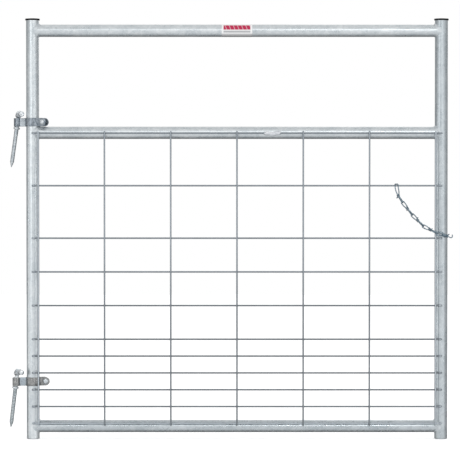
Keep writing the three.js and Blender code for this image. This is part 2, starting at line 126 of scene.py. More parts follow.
HOOK_SIDES = 36
SHANK_RADIUS = 6.2 * MM
SHANK_BELOW_EYE = {"top": 137 * MM, "bottom": 139 * MM}
POINT_LENGTH = 17 * MM
POINT_RADIUS = 0.9 * MM
THREAD_PITCH = 4.6 * MM
THREAD_DEPTH = 0.5 * MM
THREAD_TOP = -34 * MM
THREAD_FADE = 8 * MM
PIN_RADIUS = 7.95 * MM
PIN_REACH = 31 * MM
PIN_HEIGHT = {"top": 26.5 * MM, "bottom": 31.5 * MM}
PIN_CHAMFER = 1.6 * MM
PIN_NECK = 1.2 * MM
HOOK_BEND_RADIUS = 9 * MM
ELBOW_RADIUS = {"top": 9.6 * MM, "bottom": 10.6 * MM}
SWELL_BELOW_PIN = 12.8 * MM
SWELL_LENGTH = 5 * MM
COLLAR_RADIUS = 9.6 * MM
COLLAR_TOP = -14.9 * MM
COLLAR_THICKNESS = 6 * MM
COLLAR_ROUNDING = 1.2 * MM
COLLAR_BORE_CHAMFER = 0.4 * MM
COLLAR_SIDES = 48
PIN_TURN = {"top": radians(67), "bottom": radians(58)}

LINK_WIRE = 1.7 * MM
LINK_OVERLAP = 1.2 * MM
LINK_HALF_WIDTH = 4.6 * MM
LINK_SLACK = 0.55 * MM
KNOT_WIRE = 1.65 * MM
KNOT_RADIUS = 3.3 * MM
KNOT_PITCH = 3.25 * MM
KNOT_TURNS = 2.6
KNOT_STEPS = 16
TAIL_LENGTH = 5.5 * MM
LINK_TWIST = radians(18)
ANCHOR_END_TIE = 0.3
ANCHOR_TURN_LEAN = radians(-75)
ANCHOR_END = (30 * MM, -18.5 * MM, 610.8 * MM)
ANCHOR_WELD = (4.6 * MM, 5 * MM, 4.2 * MM)
END_LINK_LOWER_LENGTH = 24.4 * MM
END_LINK_LOWER_LEAN = radians(-33)
END_HOOK_CLEARANCE = 0.9 * MM
END_HOOK_TOP_OFFSET = -18.2 * MM

LABEL_CORNER = 3 * MM
LABEL_THICKNESS = 0.35 * MM
LABEL_COLUMNS = 24
LABEL_ROWS = 48
LABEL_FOOT = radians(-80)
LABEL_TOP = radians(100)

# ---- Places read from the frame ----


def node_centre(node):
    low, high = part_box(node)
    return (low + high) / 2


def node_radius(node, axis):
    low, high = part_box(node)
    return (high[axis] - low[axis]) / 2


JOINTS = {joint["name"]: joint for joint in frame["record"]["behaviour"]["joints"]}
POSTS = {"hinge_post": 1, "latch_post": -1}
RAILS = ["top_rail", "mid_rail", "bottom_rail"]
CROSS_WIRES = [f"cross_wire_{i:02d}" for i in range(1, 12)]
UPRIGHT_WIRES = [f"upright_wire_{i}" for i in range(1, 8)]

# Wires that share a finish, with the axis that they run along. The finishes are lighter and darker copies of
# one wire zinc, with painted light and shade for where each wire stands.
WIRE_GROUPS = [
    (CROSS_WIRES[:4], 0, "wire_level"),
    (CROSS_WIRES[4:10], 0, "wire_low_shaded"),
    (CROSS_WIRES[10:], 0, "wire_rail_lit"),
    (UPRIGHT_WIRES[:1], 2, "wire_outer_lit"),
    (UPRIGHT_WIRES[1:-1], 2, "wire_upright"),
    (UPRIGHT_WIRES[-1:], 2, "wire_outer_lit"),
]

POST_RADIUS = node_radius("hinge_post", 0)
POST_X = {post: node_centre(post).x for post in POSTS}
POST_Y = node_centre("hinge_post").y
RAIL_RADIUS = node_radius("mid_rail", 2)
WIRE_RADIUS = node_radius("cross_wire_02", 2)


def joint_point(name):
    return Vector(JOINTS[name]["pos_m"])


EYE_DISTANCE = (joint_point("top_hook_turn").xy - Vector((POST_X["hinge_post"], POST_Y))).length

# ---- Mesh helpers ----


class Shell:
    """Points and faces of one or more closed shells that make up one piece."""

    def __init__(self):
        self.points = []
        self.faces = []

    def loft(self, rings, closed=False, place=None):
        """Joins rings of points. The two ends are capped, unless the loft closes on itself."""
        first = len(self.points)
        size = len(rings[0])
        for ring in rings:
            self.points += [place @ p for p in ring] if place else ring
        count = len(rings)
        for i in range(count if closed else count - 1):
            low = first + i * size
            high = first + ((i + 1) % count) * size
            for k in range(size):
                n = (k + 1) % size
                self.faces.append((low + k, low + n, high + n, high + k))
        if not closed:
            self.faces.append(tuple(first + k for k in reversed(range(size))))
            self.faces.append(tuple(first + (count - 1) * size + k for k in range(size)))
        return self


def whole_turn(sides):
    return [2 * pi * k / sides for k in range(sides)]


def quarter_turn(steps):
    return [pi / 2 * i / steps for i in range(steps + 1)]


def circle(radius, height, sides):
    """A ring round Z. radius may be a number or a function of the angle."""
    rays = [(radius(a) if callable(radius) else radius, a) for a in whole_turn(sides)]
    return [Vector((r * cos(a), r * sin(a), height)) for r, a in rays]


def turned(profile, sides, place=None, closed=False):
    """A solid of revolution round Z from (radius, height) pairs."""
    return Shell().loft([circle(r, h, sides) for r, h in profile], closed, place)


def arc(centre_x, centre_y, radius, start, end, steps):
    angles = [start + (end - start) * i / steps for i in range(steps + 1)]
    return [(centre_x + radius * cos(a), centre_y + radius * sin(a)) for a in angles]


def rotated(angle, axis):
    return Matrix.Rotation(angle, 4, axis)


def raised(height):
    return Matrix.Translation((0, 0, height))


def spread(start, end, step):
    """Evenly spaced values from start to end, no further apart than step."""
    count = max(1, ceil(abs(end - start) / step))
    return [start + (end - start) * i / count for i in range(count + 1)]


def smooth_path(points, steps):
    """A Catmull-Rom curve through the points, with an even number of steps for each stretch."""
    ends = [2 * points[0] - points[1], *points, 2 * points[-1] - points[-2]]
    path = []
    for i in range(1, len(ends) - 2):
        a, b, c, d = ends[i - 1 : i + 3]
        for t in (s / steps for s in range(steps)):
            square, cube = 2 * a - 5 * b + 4 * c - d, 3 * b - a - 3 * c + d
            path.append(0.5 * (2 * b + (c - a) * t + square * t**2 + cube * t**3))
    path.append(points[-1].copy())
    return path


def sweep(shell, path, radius, sides, start_normal=None, rounded=True):
    """A round bar along a path. radius is a number, or a function of (path index, angle)."""
    last = len(path) - 1
    tangents = [(path[min(i + 1, last)] - path[max(i - 1, 0)]).normalized() for i in range(len(path))]
    normal = start_normal or tangents[0].orthogonal()
    normal = (normal - tangents[0] * normal.dot(tangents[0])).normalized()
    frames = []
    for i, tangent in enumerate(tangents):
        if i:
            normal = tangents[i - 1].rotation_difference(tangent) @ normal
            normal = (normal - tangent * normal.dot(tangent)).normalized()
        frames.append((normal, tangent.cross(normal)))

    def ring(i, scale, shift):
        u, v = frames[i]
        points = []
        for angle in whole_turn(sides):
            r = radius(i, angle) if callable(radius) else radius
            out = (u * cos(angle) + v * sin(angle)) * r * scale
            points.append(path[i] + tangents[i] * shift + out)
        return points

    rings = [ring(i, 1, 0) for i in range(len(path))]
    if rounded:
        size = radius(0, 0) if callable(radius) else radius
        tip = [(cos(a), sin(a) * TIP_ROUNDNESS * size) for a in quarter_turn(4)[1:-1]]
        start = [ring(0, c, -s) for c, s in reversed(tip)]
        rings = [*start, *rings, *[ring(last, c, s) for c, s in tip]]
    shell.loft(rings)


def add_object(name, data):
    thing = bpy.data.objects.new(name, data)
    bpy.context.scene.collection.objects.link(thing)
    return thing


def add_piece(name, mesh, material, body, nodes, sharp):
    """Puts a mesh on its body, in place of the CAD nodes that it replaces. sharp is in degrees."""
    mesh.polygons.foreach_set("use_smooth", [True] * len(mesh.polygons))
    mesh.set_sharp_from_angle(angle=radians(sharp))
    mesh.materials.append(material)
    piece = add_object(name, mesh)
    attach(piece, body)
    if nodes:
        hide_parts(*nodes)


def make_piece(name, shell, finish, body, nodes, sharp):
    mesh = bpy.data.meshes.new(name)
    mesh.from_pydata([tuple(p) for p in shell.points], [], shell.faces)
    work = bmesh.new()
    work.from_mesh(mesh)
    bmesh.ops.remove_doubles(work, verts=work.verts, dist=MERGE_DISTANCE)
    bmesh.ops.recalc_face_normals(work, faces=work.faces)
    work.to_mesh(mesh)
    work.free()
    add_piece(name, mesh, materials[finish], body, nodes, sharp)


def remake(node, suffix, shell, finish, body="leaf", sharp=38):
    """A piece that takes the place of one CAD node."""
    make_piece(f"{node}_{suffix}", shell, finish, body, [node], sharp)


def lump(point, scale, seed=0.0):
    """Smooth unevenness from -1 to 1 at a point, with features of about 1 / scale metres."""
    return noise.noise(point * scale + Vector((seed, -seed, 2 * seed)))


# ---- Materials ----


class Paint:
    """The node tree of a material or a world, and the few kinds of node that the finishes share."""

    def __init__(self, owner):
        owner.use_nodes = True
        self.owner = owner
        self.tree = owner.node_tree
        self.coords = self.tree.nodes.new("ShaderNodeTexCoord")

    def put(self, node, inputs):
        """Gives each named socket its value, or links it to the output that stands for the value."""
        for key, value in inputs.items():
            socket = node.inputs[key]
            if isinstance(value, bpy.types.NodeSocket):
                self.tree.links.new(value, socket)
            else:
                socket.default_value = (*value, 1) if socket.type == "RGBA" else value

    def new(self, kind, inputs, output, **settings):
        node = self.tree.nodes.new(kind)
        for key, value in settings.items():
            setattr(node, key, value)
        self.put(node, inputs)
        return node.outputs[output]

    def ramp(self, value, *stops):
        """A colour for the value, from (position, colour) pairs."""
        node = self.tree.nodes.new("ShaderNodeValToRGB")
        self.put(node, {"Fac": value})
        elements = node.color_ramp.elements
        while len(elements) < len(stops):
            elements.new(0.5)
        for element, (position, colour) in zip(elements, stops):
            element.position = position
            element.color = (*colour, 1)
        return node.outputs["Color"]

    def place(self, scale=(1, 1, 1), turn=(0, 0, 0)):
        inputs = {"Scale": scale, "Rotation": turn, "Vector": self.coords.outputs["Object"]}
        return self.new("ShaderNodeMapping", inputs, "Vector")

    def along(self, axis, kind="Object"):
        return self.new("ShaderNodeSeparateXYZ", {"Vector": self.coords.outputs[kind]}, axis)

    def noise(self, where, scale, detail=2.0, roughness=0.5, distortion=0.0):
        inputs = {"Vector": where, "Scale": scale, "Detail": detail}
        inputs |= {"Roughness": roughness, "Distortion": distortion}
        return self.new("ShaderNodeTexNoise", inputs, "Fac")

    def cells(self, where, scale):
        colour = self.new("ShaderNodeTexVoronoi", {"Vector": where, "Scale": scale}, "Color")
        return self.new("ShaderNodeSeparateColor", {"Color": colour}, "Red")

    def span(self, value, low, high, out_low=0.0, out_high=1.0):
        """The value's range from low to high, mapped to another range and held at its ends."""
        inputs = {"Value": value, "From Min": low, "From Max": high, "To Min": out_low, "To Max": out_high}
        return self.new("ShaderNodeMapRange", inputs, "Result")

    def maths(self, operation, a, b):
        return self.new("ShaderNodeMath", {0: a, 1: b}, "Value", operation=operation)

    def times(self, a, b):
        return self.maths("MULTIPLY", a, b)

    def plus(self, a, b):
        return self.maths("ADD", a, b)

    def total(self, *terms):
        """The sum of (value, weight) pairs."""
        result, *others = [self.times(value, weight) for value, weight in terms]
        for part in others:
            result = self.plus(result, part)
        return result

    def blend(self, factor, a, b, kind="MIX"):
        inputs = {"Factor": factor, "A": a, "B": b}
        return self.new("ShaderNodeMix", inputs, "Result", data_type="RGBA", blend_type=kind)

    def bump(self, height, distance, strength, under=None):
        inputs = {"Strength": strength, "Distance": distance, "Height": height}
        if under:
            inputs["Normal"] = under
        return self.new("ShaderNodeBump", inputs, "Normal")

    def finish(self, colour, rough, normal, metal=0.0, **others):
        inputs = {"Base Color": colour, "Roughness": rough, "Normal": normal, "Metallic": metal, **others}
        self.put(self.tree.nodes["Principled BSDF"], inputs)
        return self.owner


def new_paint(name):
    return Paint(bpy.data.materials.new(name))


def galvanised(name, light, dark, axis, rough=0.32, crystal=120, lumps=1.1, foot=None):
    """Hot-dip zinc: faint crystals, cloudy patches, runs along an axis, and a lumpy satin surface. Painted
    shade, darker towards the bottom, is given as foot: (height where it starts, height where it ends, how
    much is left of the tone)."""
    paint = new_paint(f"galvanised_{name}")
    plain = paint.place()

    def stretched(share):
        return paint.place([share if i == axis else 1.0 for i in range(3)])

    clouds = paint.noise(stretched(ZINC_RUNS), 70, 4, 0.6, 0.4)
    patches = paint.noise(plain, 16, 3, 0.55)
    speckle = paint.noise(plain, 260, 3, 0.7)
    crystals = paint.cells(plain, crystal)
    grain = paint.noise(plain, 1400, 2)
    tone = paint.total((clouds, 0.36), (patches, 0.3), (speckle, 0.22), (crystals, 0.12))
    colour = paint.ramp(paint.span(tone, 0.36, 0.64), (0.0, dark), (1.0, light))
    # Painted shade: the colour darkens towards the bottom, below the given heights.
    if foot:
        start, end, left = foot
        colour = paint.blend(1.0, colour, paint.span(paint.along("Z"), end, start, left, 1), "MULTIPLY")
    roughness = paint.span(clouds, 0.3, 0.7, rough - 0.07, rough + 0.09)
    roughness = paint.plus(roughness, paint.span(crystals, 0, 1, -0.03, 0.03))
    swell = paint.noise(stretched(ZINC_SWELLS), 34)
    normal = paint.bump(swell, lumps * MM, 1.0)
    normal = paint.bump(speckle, 0.035 * MM, 0.7, normal)
    normal = paint.bump(grain, 0.012 * MM, 0.6, normal)
    return paint.finish(colour, roughness, normal, 0.9)


def zinc_plate(name, light, dark, rough, scratch, blotch, highlight_band=None):
    """Thin zinc plating over pressed or drawn steel: fine scratches, dull smears and small stains. A
    painted highlight, a brighter band along an axis, is given as (axis, start, end, colour)."""
    paint = new_paint(f"plated_{name}")
    plain = paint.place()
    drawn = paint.place((1, 1, 0.08), (0.35, 0.2, 0.1))
    smears = paint.noise(plain, blotch, 4, 0.65, 0.6)
    stains = paint.noise(plain, blotch / 3, 3)
    lines = paint.noise(drawn, 900, 2, 0.7)
    tone = paint.span(paint.total((smears, 0.6), (stains, 0.4)), 0.38, 0.62)
    colour = paint.ramp(tone, (0.0, dark), (1.0, light))
    roughness = paint.span(smears, 0.3, 0.7, rough - 0.07, rough + 0.1)
    roughness = paint.plus(roughness, paint.span(lines, 0.3, 0.7, -0.04, 0.04))
    normal = paint.bump(lines, 0.02 * MM, scratch)
    normal = paint.bump(smears, 0.12 * MM, 0.6, normal)
    # Painted highlight: a band along the axis is lightened to the given colour, with ragged edges from the
    # smears.
    if highlight_band:
        axis, start, end, bright = highlight_band
        edge = paint.span(smears, 0.3, 0.7, -2 * MM, 2 * MM)
        at = paint.plus(paint.along(axis), edge)
        inside = paint.span(at, start - MM, start + MM)
        inside = paint.times(inside, paint.span(at, end - MM, end + MM, 1, 0))
        inside = paint.times(inside, paint.span(smears, 0.35, 0.5, 0.3, 1))
        colour = paint.blend(inside, colour, bright)
    return paint.finish(colour, roughness, normal, 0.92)


def burnt_zinc(name, light, dark):
    """A weld under zinc: duller and rougher than the tube, with small pits."""
    paint = new_paint(name)
    plain = paint.place()
    scale = paint.noise(plain, 320, 4, 0.7, 0.5)
    patches = paint.noise(plain, 90, 3)
    pits = paint.noise(plain, 900, 3)
    colour = paint.ramp(paint.span(patches, 0.3, 0.7), (0.0, dark), (1.0, light))
    roughness = paint.span(scale, 0.3, 0.7, 0.38, 0.58)
    normal = paint.bump(scale, 0.14 * MM, 0.7)
    normal = paint.bump(pits, 0.05 * MM, 0.6, normal)
    return paint.finish(colour, roughness, normal, 0.82)


def black_plastic(name):
    """Moulded polyethylene: fine spark texture, faint scuffs on the crown."""
    paint = new_paint(name)
    plain = paint.place()
    texture = paint.noise(plain, 1800, 3)
    scuffs = paint.noise(paint.place((1, 6, 1), (0, 0, 0.6)), 160, 5, 0.7)
    dust = paint.noise(plain, 70, 4, 0.6)
    marks = paint.times(paint.span(scuffs, 0.55, 0.75), 0.35)
    marks = paint.plus(marks, paint.span(dust, 0.5, 0.8, 0, 0.15))
    colour = paint.blend(marks, (0.0015, 0.0015, 0.002), (0.012, 0.0125, 0.014))
    roughness = paint.span(scuffs, 0.3, 0.75, 0.5, 0.66)
    normal = paint.bump(texture, 0.02 * MM, 0.7)
    return paint.finish(colour, roughness, normal, **{"Specular IOR Level": 0.1})


def label_print(red_band, grey_band, fade_band, side_margin):
    """White film with a red bar, cut by a few slanted gaps, over a thin grey bar. The foot of the film
    is grey, darker towards its lower edge. UV runs 0 to 1 both ways."""
    paint = new_paint("label_print")
    along, up = paint.along("X", "UV"), paint.along("Y", "UV")

    def between(value, low, high, soft):
        rise = paint.span(value, low - soft, low + soft)
        fall = paint.span(value, high - soft, high + soft, 1, 0)
        return paint.times(rise, fall)

    margin = between(along, side_margin, 1 - side_margin, 0.006)
    slant = paint.plus(along, paint.times(up, 0.22))
    wave = paint.maths("FRACT", paint.times(slant, 7.4), 0)
    blocks = paint.plus(paint.times(between(wave, 0.08, 0.9, 0.05), 0.45), 0.55)
    red = paint.times(paint.times(between(up, *red_band, 0.012), margin), blocks)
    grey = paint.times(between(up, *grey_band, 0.012), margin)
    film = paint.noise(paint.place(), 60, 3)
    white = paint.ramp(film, (0.3, (0.97, 0.97, 0.97)), (0.7, (1, 1, 1)))
    # The foot of the film: grey that darkens towards the lower edge.
    foot_rise = paint.span(up, 0, fade_band[0])
    foot_grey = paint.ramp(foot_rise, (0.0, (0.16, 0.16, 0.165)), (1.0, (0.6, 0.6, 0.605)))
    base = paint.blend(paint.span(up, *fade_band), foot_grey, white)
    with_grey = paint.blend(paint.times(grey, 0.62), base, (0.24, 0.25, 0.27))
    colour = paint.blend(red, with_grey, (0.56, 0.008, 0.075))
    roughness = paint.span(film, 0.3, 0.7, 0.3, 0.42)
    normal = paint.bump(film, 0.1 * MM, 0.4)
    return paint.finish(colour, roughness, normal)


def strap_highlight(tone):
    """A painted highlight on the neck of a strap, between its eye and the post."""
    return "X", POST_X["hinge_post"] - 39 * MM, POST_X["hinge_post"] - 21 * MM, tone


def hook_highlight(name):
    """A painted highlight on the elbow and the pin of a screw hook."""
    pin = joint_point(f"{name}_hook_turn").z + PIN_HEIGHT[name]
    return "Z", pin - 19 * MM, pin + 30 * MM, (0.8, 0.83, 0.85)


# Each finish has a light and a dark tone, then the arguments of its function in order.
# Painted light and shade: the hinge post and the upper rails take a lighter copy of the tube zinc, the latch
# post and the bottom rail a darker copy.
LIT_TUBE = (0.8, 0.835, 0.85), (0.57, 0.62, 0.65)
SHADED_TUBE = (0.66, 0.705, 0.73), (0.47, 0.52, 0.55)
WIRE_SURFACE = (0.42, 400, 0.08)
GALVANISED = {
    "hinge_post": (*LIT_TUBE, 2),
    "latch_post": (*SHADED_TUBE, 2),
    "top_rail": (*LIT_TUBE, 0),
    "mid_rail": (*LIT_TUBE, 0),
    "bottom_rail": (*SHADED_TUBE, 0, 0.28, 120, 0.45),
    # Painted light and shade on the wires: lighter and darker copies of one zinc, and a painted shade on the
    # lower part of the inner uprights.
    "wire_level": ((0.34, 0.375, 0.41), (0.26, 0.29, 0.32), 0, *WIRE_SURFACE),
    "wire_low_shaded": ((0.25, 0.275, 0.3), (0.19, 0.21, 0.23), 0, *WIRE_SURFACE),
    "wire_rail_lit": ((0.56, 0.61, 0.65), (0.45, 0.5, 0.54), 0, *WIRE_SURFACE),
    "wire_outer_lit": ((0.56, 0.61, 0.65), (0.46, 0.5, 0.54), 2, *WIRE_SURFACE),
    "wire_upright": ((0.4, 0.44, 0.475), (0.32, 0.355, 0.39), 2, *WIRE_SURFACE, (0.6, 0.38, 0.68)),
}
PLATED = {
    # The straps' neck tones are painted highlights.
    "top_strap": ((0.38, 0.42, 0.46), (0.14, 0.17, 0.2), 0.27, 0.5, 170, strap_highlight((0.6, 0.65, 0.69))),
    "bottom_strap": (
        (0.44, 0.44, 0.435), (0.19, 0.195, 0.195), 0.3, 0.5, 170, strap_highlight((0.45, 0.51, 0.56))
    ),
    "bolt": ((0.8, 0.83, 0.85), (0.4, 0.44, 0.47), 0.2, 0.4, 240),
    # The hooks' elbow and pin carry a painted highlight band.
    "top_hook": ((0.66, 0.7, 0.72), (0.34, 0.38, 0.41), 0.26, 0.5, 160, hook_highlight("top")),
    "bottom_hook": ((0.54, 0.58, 0.6), (0.27, 0.31, 0.33), 0.26, 0.5, 160, hook_highlight("bottom")),
    "chain": ((0.4, 0.5, 0.56), (0.07, 0.11, 0.15), 0.2, 0.4, 260),
}
materials = {
    **{name: galvanised(name, *look) for name, look in GALVANISED.items()},
    **{name: zinc_plate(name, *look) for name, look in PLATED.items()},
    "weld": burnt_zinc("galvanised_weld", (0.74, 0.77, 0.79), (0.52, 0.57, 0.6)),
    # The wire-end welds: weld metal whose darker tone is partly painted shade for the wire's shadow on the
    # post.
    "spot": burnt_zinc("spot_weld_and_shade", (0.5, 0.54, 0.58), (0.34, 0.38, 0.42)),
    "run": burnt_zinc("zinc_run", (0.86, 0.87, 0.89), (0.68, 0.71, 0.75)),
    "cap": black_plastic("black_cap_plastic"),
}

# ---- Tubes ----


def uneven(point, axis, seed):
    """The drawn tube's outside wanders a little along its length."""
    stretched = point.copy()
    stretched[axis] *= 0.35
    return 1 + TUBE_LUMP / POST_RADIUS * lump(stretched, 45, seed)


def build_post(post, seed):
    low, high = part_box(post)
    centre = Vector((POST_X[post], POST_Y, 0))
    bore = POST_RADIUS - TUBE_WALL
    corner = [
        (POST_RADIUS - FOOT_EASE_WIDTH * (1 - sin(a)), low.z + FOOT_EASE_HEIGHT * (1 - cos(a)))
        for a in quarter_turn(6)[:-1]
    ]
    foot = [(0, low.z), (POST_RADIUS * 0.5, low.z), *corner]
    outside = [(POST_RADIUS, z) for z in spread(low.z + FOOT_EASE_HEIGHT, high.z - LIP_ROUNDING, TUBE_STEP)]
    lip = [(POST_RADIUS - LIP_ROUNDING, high.z), (bore, high.z)]
    inside = [(bore, z) for z in spread(high.z, low.z + TUBE_WALL, 8 * TUBE_STEP)[1:]]
    profile = [*foot, *outside, *lip, *inside, (0, low.z + TUBE_WALL)]
    rings = [circle(radius, height, TUBE_SIDES) for radius, height in profile]
    for ring in rings:
        for p in ring:
            wander = uneven(p, 2, seed)
            p.xyz = Vector((p.x * wander, p.y * wander, p.z)) + centre
    remake(post, "tube", Shell().loft(rings), post)


def cope(depth):
    """How far a rail's end stands back from the post's axis, at a depth from the rail's axis."""
    return sqrt(POST_RADIUS**2 - depth**2)


def build_rail(rail, seed):
    z = node_centre(rail).z
    left, right = POST_X["hinge_post"], POST_X["latch_post"]
    bore = RAIL_RADIUS - TUBE_WALL
    shares = spread(0, 1, TUBE_STEP / (right - left))

    def ring(radius, share):
        points = []
        for angle in whole_turn(TUBE_SIDES):
            y, up = radius * cos(angle), radius * sin(angle)
            back = cope(y)
            x = left + back + share * (right - left - 2 * back)
            wander = uneven(Vector((x, y, up)), 0, seed) if radius == RAIL_RADIUS else 1
            points.append(Vector((x, POST_Y + y * wander, z + up * wander)))
        return points

    rings = [ring(RAIL_RADIUS, s) for s in shares]
    rings += [ring(bore, s) for s in spread(1, 0, 0.1)]
    remake(rail, "tube", Shell().loft(rings, closed=True), rail)


def onto(flat, radius, point):
    """The point, moved square to a tube's axis onto its surface. flat is 1, 1 or 0 for each axis."""
    across = Vector([p * f for p, f in zip(point, flat)]).normalized() * radius
    return Vector([a if f else p for p, a, f in zip(point, across, flat)])


def weld_saddle(shell, post, rail, seed):
    """A fillet that runs round the joint of a rail and a post."""
    side = POSTS[post]
    axis = Vector((POST_X[post], POST_Y, node_centre(rail).z))
    rings = []
    for angle in whole_turn(WELD_SIDES):
        y, up = RAIL_RADIUS * cos(angle), RAIL_RADIUS * sin(angle)
        corner = Vector((side * cope(y), y, up))
        slope = side * RAIL_RADIUS**2 * sin(angle) * cos(angle) / cope(y)
        tangent = Vector((slope, -up, y)).normalized()
        post_normal = Vector((corner.x, y, 0)).normalized()
        rail_normal = Vector((0, y, up)).normalized()
        on_post = post_normal.cross(tangent)
        if on_post.dot(rail_normal) < 0:
            on_post.negate()
        on_rail = rail_normal.cross(tangent)
        if on_rail.x * side < 0:
            on_rail.negate()
        steep, under = abs(sin(angle)), max(0.0, -sin(angle))
        wander = 1 + BEAD_LUMP * lump(Vector((3 * cos(angle), 3 * sin(angle), 0)), 1.0, seed)
        leg = WELD_LEG * (1 - 0.32 * steep - 0.4 * under) * wander
        post_toe = onto((1, 1, 0), POST_RADIUS, corner + on_post * leg)
        rail_toe = onto((0, 1, 1), RAIL_RADIUS, corner + on_rail * leg)
        out = (post_normal + rail_normal).normalized()
        control = ((post_toe + rail_toe) / 2).lerp(corner, 0.5 * steep)
        ring = []
        for s in (i / WELD_STEPS for i in range(WELD_STEPS + 1)):
            p = post_toe * (1 - s) ** 2 + control * 2 * s * (1 - s) + rail_toe * s**2
            ripple = WELD_RIPPLE * cos(angle * WELD_RIPPLES + 1.6 * (s - 0.5))
            rough = WELD_RIPPLE * 1.6 * lump(p + axis, 260, seed)
            p += out * sin(pi * s) * (WELD_BEAD * (1 - 0.75 * steep) + ripple + rough)
            ring.append(p + axis)
        ring.append(axis + corner - out * WELD_ROOT)
        rings.append(ring)
    shell.loft(rings, closed=True)


def build_rail_welds():
    for number, rail in enumerate(RAILS):
        shell = Shell()
        for post in POSTS:
            weld_saddle(shell, post, rail, number * 3.1 + POSTS[post])
        make_piece(f"{rail}_welds", shell, "weld", "leaf", [], 60)


def build_cap(cap):
    low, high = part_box(cap)
    centre = node_centre(cap)
    radius = node_radius(cap, 0)
    flange_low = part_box(cap.replace("_cap", ""))[1].z + SEAT_GAP
    plug = POST_RADIUS - TUBE_WALL - SEAT_GAP
    shares = (0.15, 0.3, 0.45, 0.6, 0.75, 0.9)
    crown = [(radius * s * 0.9, high.z - CAP_CROWN * s**2) for s in shares]
    edge_high = high.z - CAP_CROWN - CAP_EDGE
    skirt_low = flange_low - CAP_SKIRT
    profile = [
        (0, high.z),
        *crown,
        *arc(radius - CAP_EDGE, edge_high, CAP_EDGE, radians(80), 0, 6),
        *arc(radius - CAP_RIM, skirt_low + CAP_RIM, CAP_RIM, 0, -pi / 2, 3),
        (POST_RADIUS + 2 * SEAT_GAP, skirt_low),
        (POST_RADIUS + 2 * SEAT_GAP, flange_low),
        (plug + CAP_PLUG_STEP, flange_low),
        (plug, flange_low - CAP_PLUG_STEP),
        (plug, low.z + CAP_PLUG_TAPER),
        (plug - 1 * MM, low.z),
        (plug - CAP_PLUG_WALL, low.z),
        (plug - CAP_PLUG_WALL, flange_low - CAP_PLUG_WALL),
        (0, flange_low - CAP_PLUG_WALL),
    ]
    shell = turned(profile, TUBE_SIDES, Matrix.Translation((centre.x, centre.y, 0)))
    remake(cap, "moulding", shell, "cap")


# ---- Label ----


def build_label():
    """A film bent round the top rail, with round corners, drawn on its own UV."""
    low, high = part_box("rail_label")
    rail = node_centre("top_rail")
    radius = high.z - rail.z
    turn = LABEL_TOP - LABEL_FOOT
    length, height = high.x - low.x, turn * radius
    points, faces, uvs = [], [], []
    for side_radius in (radius, radius - LABEL_THICKNESS):
        for t in (-1 + 2 * j / LABEL_ROWS for j in range(LABEL_ROWS + 1)):
            edge = min(abs(t) * height / 2 - (height / 2 - LABEL_CORNER), LABEL_CORNER)
            inset = LABEL_CORNER - sqrt(LABEL_CORNER**2 - edge**2) if edge > 0 else 0
            angle = (LABEL_FOOT + LABEL_TOP) / 2 + t * turn / 2
            y, z = rail.y - side_radius * cos(angle), rail.z + side_radius * sin(angle)
            for s in (-1 + 2 * i / LABEL_COLUMNS for i in range(LABEL_COLUMNS + 1)):
                x = s * (length / 2 - inset)
                points.append(((low.x + high.x) / 2 + x, y, z))
                uvs.append((0.5 + x / length, 0.5 + t / 2))
    width = LABEL_COLUMNS + 1
    sheet = width * (LABEL_ROWS + 1)
    for a in (j * width + i for j in range(LABEL_ROWS) for i in range(LABEL_COLUMNS)):
        faces.append((a, a + 1, a + width + 1, a + width))
        faces.append((sheet + a + width, sheet + a + width + 1, sheet + a + 1, sheet + a))
    border = [
        *range(LABEL_COLUMNS),
        *[LABEL_COLUMNS + j * width for j in range(LABEL_ROWS)],
        *[LABEL_ROWS * width + i for i in range(LABEL_COLUMNS, 0, -1)],
        *[j * width for j in range(LABEL_ROWS, 0, -1)],
    ]
    for a, b in zip(border, border[1:] + border[:1]):
        faces.append((b, a, sheet + a, sheet + b))
    mesh = bpy.data.meshes.new("rail_label_film")
    mesh.from_pydata(points, [], faces)
    layer = mesh.uv_layers.new(name="UVMap")
    for loop in mesh.loops:
        layer.data[loop.index].uv = uvs[loop.vertex_index]

    def band(low_angle, high_angle):
        return tuple((radians(a) - LABEL_FOOT) / turn for a in (low_angle, high_angle))

    film = label_print(band(7, 56), band(-19, -2), band(-38, -24), 0.06)
    add_piece("rail_label_film", mesh, film, "leaf", ["rail_label"], 50)


# ---- Wires ----


def build_wire(wire, axis, finish):
    low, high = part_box(wire)
    centre = node_centre(wire)
    path = []
    for value in spread(low[axis] + WIRE_END, high[axis] - WIRE_END, WIRE_STEP):
        point = centre.copy()
        point[axis] = value
        path.append(point)

    def radius(i, angle):
        return WIRE_RADIUS + WIRE_LUMP * lump(path[i] + Vector((angle, 0, angle)) * 0.01, 60)

    shell = Shell()
    sweep(shell, path, radius, WIRE_SIDES)
    remake(wire, "rod", shell, finish)


def nugget(shell, centre, size, seed, sides=14, rows=9):
    """A small squashed bead of weld metal with a lumpy surface."""
    rings = []
    for polar in (pi * j / rows for j in range(rows + 1)):
        ring = []
        for angle in whole_turn(sides):
            direction = Vector((sin(polar) * cos(angle), sin(polar) * sin(angle), cos(polar)))
            reach = 1 + BEAD_LUMP * lump(direction, 1.7, seed)
            ring.append(centre + Vector([direction[i] * size[i] * reach for i in range(3)]))
        rings.append(ring)
    shell.loft(rings)


